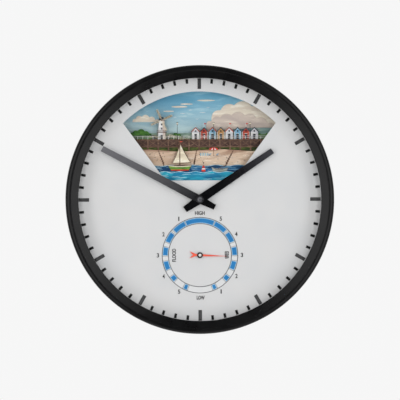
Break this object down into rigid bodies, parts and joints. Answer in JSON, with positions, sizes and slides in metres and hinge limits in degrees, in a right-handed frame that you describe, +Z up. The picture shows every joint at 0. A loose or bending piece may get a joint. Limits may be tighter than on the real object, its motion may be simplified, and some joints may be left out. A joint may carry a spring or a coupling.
{
  "type": "tide clock",
  "caption": "Round wall clock with a sub-dial for the tide and a fan window whose layered sea rises and falls.",
  "frame": {"origin": "centre of the rear face, on the axis of the hands", "axes": "+Z up the dial, -Y out of the dial to the viewer, +X to the viewer's right, wall plane at Y=0"},
  "size_m": [0.3, 0.064, 0.3],
  "materials": {
    "case_black": "satin black powder coat",
    "screw_black": "blackened steel",
    "back_black": "grained black plastic",
    "steel": "zinc plated",
    "brass": "bright",
    "clear_glass": "clear flat",
    "gasket_rubber": "matt",
    "carrier_board": "fibreboard",
    "dial_white": "matt white",
    "mark_black": "black print",
    "scale_grey": "grey print",
    "scale_blue": "blue print",
    "hand_black": "satin black",
    "pointer_red": "orange-red",
    "movement_black": "moulded",
    "gear_plastic": "natural",
    "centre_brass": "turned",
    "rotor_metal": "magnet",
    "coil_copper": "enamelled copper wire",
    "board_green": "solder mask",
    "battery_case": "plain sleeve",
    "scene_sky": "painted board",
    "scene_hills": "painted board",
    "scene_huts": "painted board",
    "scene_walk": "painted board",
    "scene_sand": "painted board",
    "pad_white": "foam",
    "carriage_board": "sheet",
    "wave_blue": "painted board",
    "wave_cyan": "painted board",
    "boat_board": "painted board"
  },
  "bodies": {
    "case": {"case_drum": "case_black", "bezel_ring": "case_black", "spacer_ring": "case_black", "bezel_screws": "screw_black", "back_plate": "back_black", "back_screws": "steel", "keyhole_hanger": "steel", "hanger_rivets": "steel", "standoffs": "steel", "bush_washers": "steel", "guide_posts": "steel", "guide_clips": "steel", "battery_contacts": "steel", "stators": "steel", "bush_nuts": "brass", "glass_lens": "clear_glass", "glass_gasket": "gasket_rubber", "carrier_plate": "carrier_board", "dial_plate": "dial_white", "minute_track": "mark_black", "tide_scale_lines": "scale_grey", "tide_scale_blocks": "scale_blue", "clock_front_shell": "movement_black", "clock_rear_shell": "movement_black", "tide_front_shell": "movement_black", "tide_rear_shell": "movement_black", "train_plates": "gear_plastic", "clock_coil": "coil_copper", "tide_coil": "coil_copper", "circuit_boards": "board_green", "clock_battery": "battery_case", "tide_battery": "battery_case", "scene_backdrop": "scene_sky", "hills_layer": "scene_hills", "hut_row": "scene_huts", "boardwalk": "scene_walk", "beach_layer": "scene_sand", "layer_pads": "pad_white"},
    "minute": {"minute_hand": "hand_black", "hand_nut": "hand_black", "clock_centre_wheel": "centre_brass"},
    "hour": {"hour_hand": "hand_black", "hour_wheel": "gear_plastic"},
    "clock_motion": {"clock_motion_wheel": "gear_plastic"},
    "clock_knob": {"clock_setting_knob": "movement_black"},
    "clock_third": {"clock_third_wheel": "gear_plastic"},
    "clock_step_rotor": {"clock_rotor": "rotor_metal"},
    "tide_train": {"tide_centre_wheel": "centre_brass"},
    "tide_hand": {"tide_pointer": "pointer_red", "tide_wheel": "gear_plastic", "sea_eccentric": "gear_plastic"},
    "tide_motion": {"tide_motion_wheel": "gear_plastic"},
    "tide_knob": {"tide_setting_knob": "movement_black"},
    "tide_third": {"tide_third_wheel": "gear_plastic"},
    "tide_step_rotor": {"tide_rotor": "rotor_metal"},
    "sea": {"sea_carriage": "carriage_board", "wave_back": "wave_blue", "wave_front": "wave_cyan", "dinghy": "boat_board"}
  },
  "joints": [
    {"name": "minute_turn", "type": "hinge", "parent": "case", "child": "minute", "pos_m": [0, -0.02, 0], "axis": [0, 1, 0], "continuous": true},
    {"name": "hour_turn", "type": "hinge", "parent": "case", "child": "hour", "pos_m": [0, -0.02, 0], "axis": [0, 1, 0], "continuous": true},
    {"name": "tide_train_turn", "type": "hinge", "parent": "case", "child": "tide_train", "pos_m": [0, -0.02, -0.0622], "axis": [0, 1, 0], "continuous": true},
    {"name": "tide_pointer_turn", "type": "hinge", "parent": "case", "child": "tide_hand", "pos_m": [0, -0.02, -0.0622], "axis": [0, 1, 0], "continuous": true},
    {"name": "clock_motion_turn", "type": "hinge", "parent": "case", "child": "clock_motion", "pos_m": [-0.012, -0.02, 0], "axis": [0, 1, 0], "continuous": true},
    {"name": "clock_knob_turn", "type": "hinge", "parent": "case", "child": "clock_knob", "pos_m": [-0.012, -0.02, 0.012], "axis": [0, 1, 0], "continuous": true},
    {"name": "clock_third_turn", "type": "hinge", "parent": "case", "child": "clock_third", "pos_m": [0.01075, -0.02, 0.00391], "axis": [0, 1, 0], "continuous": true},
    {"name": "clock_rotor_turn", "type": "hinge", "parent": "case", "child": "clock_step_rotor", "pos_m": [0.01075, -0.02, 0.01351], "axis": [0, 1, 0], "continuous": true},
    {"name": "tide_motion_turn", "type": "hinge", "parent": "case", "child": "tide_motion", "pos_m": [-0.012, -0.02, -0.0622], "axis": [0, 1, 0], "continuous": true},
    {"name": "tide_knob_turn", "type": "hinge", "parent": "case", "child": "tide_knob", "pos_m": [-0.012, -0.02, -0.0502], "axis": [0, 1, 0], "continuous": true},
    {"name": "tide_third_turn", "type": "hinge", "parent": "case", "child": "tide_third", "pos_m": [0.01075, -0.02, -0.05829], "axis": [0, 1, 0], "continuous": true},
    {"name": "tide_rotor_turn", "type": "hinge", "parent": "case", "child": "tide_step_rotor", "pos_m": [0.01075, -0.02, -0.04869], "axis": [0, 1, 0], "continuous": true},
    {"name": "sea_slide", "type": "slide", "parent": "case", "child": "sea", "axis": [0, 0, 1], "range_m": [-0.00861, 0.00939]}
  ],
  "couplings": [
    {"joint": "hour_turn", "follows": "minute_turn", "ratio": 0.083333},
    {"joint": "tide_pointer_turn", "follows": "tide_train_turn", "ratio": 0.083333},
    {"joint": "clock_motion_turn", "follows": "minute_turn", "ratio": -0.33333},
    {"joint": "clock_knob_turn", "follows": "minute_turn", "ratio": 1},
    {"joint": "clock_third_turn", "follows": "minute_turn", "ratio": -10},
    {"joint": "clock_rotor_turn", "follows": "minute_turn", "ratio": 90},
    {"joint": "tide_motion_turn", "follows": "tide_train_turn", "ratio": -0.33333},
    {"joint": "tide_knob_turn", "follows": "tide_train_turn", "ratio": 1},
    {"joint": "tide_third_turn", "follows": "tide_train_turn", "ratio": -10},
    {"joint": "tide_rotor_turn", "follows": "tide_train_turn", "ratio": 90}
  ]
}
